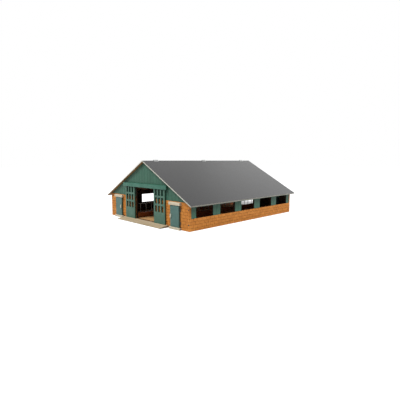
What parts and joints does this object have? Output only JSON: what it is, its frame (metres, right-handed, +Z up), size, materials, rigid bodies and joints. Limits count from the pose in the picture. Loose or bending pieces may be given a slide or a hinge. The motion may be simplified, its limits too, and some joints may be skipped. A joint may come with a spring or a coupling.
{
  "type": "toy barn with opening doors",
  "caption": "Wooden toy cattle barn with brick-look walls, sliding main doors with open panes, small hinged side doors, ramps, feed fences and roof boards hinged at the ridge.",
  "frame": {"origin": "middle of the barn in plan, on the surface it stands on", "axes": "+X to the right seen from the front gable, +Y from the front gable to the rear gable, +Z up"},
  "size_m": [0.6, 0.792, 0.2678],
  "materials": {
    "printed_gable": "satin printed board, brickwork below green boarding",
    "printed_side_wall": "satin printed board, brickwork below green boarding",
    "header_green": "satin paint",
    "door_green": "satin paint",
    "roof_grey": "satin paint",
    "floor_wood": "bare, smooth",
    "bare_wood": "bare, smooth",
    "ramp_wood": "matt paint",
    "pale_wood": "matt paint",
    "kick_orange": "satin paint",
    "fence_grey": "satin paint",
    "handle_cream": "satin paint",
    "hinge_steel": "zinc plated",
    "screw_steel": "zinc plated"
  },
  "bodies": {
    "barn": {"door_hinge_pins": "hinge_steel", "door_wall_leaves": "hinge_steel", "floor_dowels": "bare_wood", "floor_panel": "floor_wood", "front_gable": "printed_gable", "front_header_rail": "header_green", "front_left_lintel": "pale_wood", "front_left_step": "pale_wood", "front_ramp": "ramp_wood", "front_right_lintel": "pale_wood", "front_right_step": "pale_wood", "kick_board_screws": "screw_steel", "left_fence_posts": "fence_grey", "left_fence_rail": "fence_grey", "left_kick_board": "kick_orange", "left_side_wall": "printed_side_wall", "panel_screws": "screw_steel", "rear_gable": "printed_gable", "rear_header_rail": "header_green", "rear_left_lintel": "pale_wood", "rear_left_step": "pale_wood", "rear_ramp": "ramp_wood", "rear_right_lintel": "pale_wood", "rear_right_step": "pale_wood", "ridge_beam": "bare_wood", "ridge_eyes": "hinge_steel", "ridge_pins": "hinge_steel", "right_fence_posts": "fence_grey", "right_fence_rail": "fence_grey", "right_kick_board": "kick_orange", "right_side_wall": "printed_side_wall", "trim_screws": "screw_steel", "wall_leaf_screws": "screw_steel"},
    "left_roof": {"left_roof_board": "roof_grey", "left_ridge_leaves": "hinge_steel", "left_ridge_leaf_screws": "screw_steel"},
    "right_roof": {"right_roof_board": "roof_grey", "right_ridge_leaves": "hinge_steel", "right_ridge_leaf_screws": "screw_steel"},
    "front_left_slider": {"front_left_sliding_door": "door_green"},
    "front_right_slider": {"front_right_sliding_door": "door_green"},
    "rear_left_slider": {"rear_left_sliding_door": "door_green"},
    "rear_right_slider": {"rear_right_sliding_door": "door_green"},
    "front_left_leaf_door": {"front_left_small_door": "door_green", "front_left_handle": "handle_cream", "front_left_door_leaves": "hinge_steel", "front_left_door_leaf_screws": "screw_steel"},
    "front_right_leaf_door": {"front_right_small_door": "door_green", "front_right_handle": "handle_cream", "front_right_door_leaves": "hinge_steel", "front_right_door_leaf_screws": "screw_steel"},
    "rear_left_leaf_door": {"rear_left_small_door": "door_green", "rear_left_handle": "handle_cream", "rear_left_door_leaves": "hinge_steel", "rear_left_door_leaf_screws": "screw_steel"},
    "rear_right_leaf_door": {"rear_right_small_door": "door_green", "rear_right_handle": "handle_cream", "rear_right_door_leaves": "hinge_steel", "rear_right_door_leaf_screws": "screw_steel"}
  },
  "joints": [
    {"name": "left_roof_hinge", "type": "hinge", "parent": "barn", "child": "left_roof", "pos_m": [0, 0, 0.26653], "axis": [0, 1, 0], "range_deg": [0, 115]},
    {"name": "right_roof_hinge", "type": "hinge", "parent": "barn", "child": "right_roof", "pos_m": [0, 0, 0.26653], "axis": [0, -1, 0], "range_deg": [0, 115]},
    {"name": "front_left_slide", "type": "slide", "parent": "barn", "child": "front_left_slider", "axis": [1, 0, 0], "range_m": [0, 0.06975]},
    {"name": "front_right_slide", "type": "slide", "parent": "barn", "child": "front_right_slider", "axis": [-1, 0, 0], "range_m": [0, 0.06975]},
    {"name": "rear_left_slide", "type": "slide", "parent": "barn", "child": "rear_left_slider", "axis": [1, 0, 0], "range_m": [0, 0.06975]},
    {"name": "rear_right_slide", "type": "slide", "parent": "barn", "child": "rear_right_slider", "axis": [-1, 0, 0], "range_m": [0, 0.06975]},
    {"name": "front_left_door_hinge", "type": "hinge", "parent": "barn", "child": "front_left_leaf_door", "pos_m": [-0.2305, -0.3547, 0.0517], "axis": [0, 0, -1], "range_deg": [0, 110]},
    {"name": "front_right_door_hinge", "type": "hinge", "parent": "barn", "child": "front_right_leaf_door", "pos_m": [0.2305, -0.3547, 0.0517], "axis": [0, 0, 1], "range_deg": [0, 110]},
    {"name": "rear_left_door_hinge", "type": "hinge", "parent": "barn", "child": "rear_left_leaf_door", "pos_m": [-0.2305, 0.3547, 0.0517], "axis": [0, 0, 1], "range_deg": [0, 110]},
    {"name": "rear_right_door_hinge", "type": "hinge", "parent": "barn", "child": "rear_right_leaf_door", "pos_m": [0.2305, 0.3547, 0.0517], "axis": [0, 0, -1], "range_deg": [0, 110]}
  ]
}
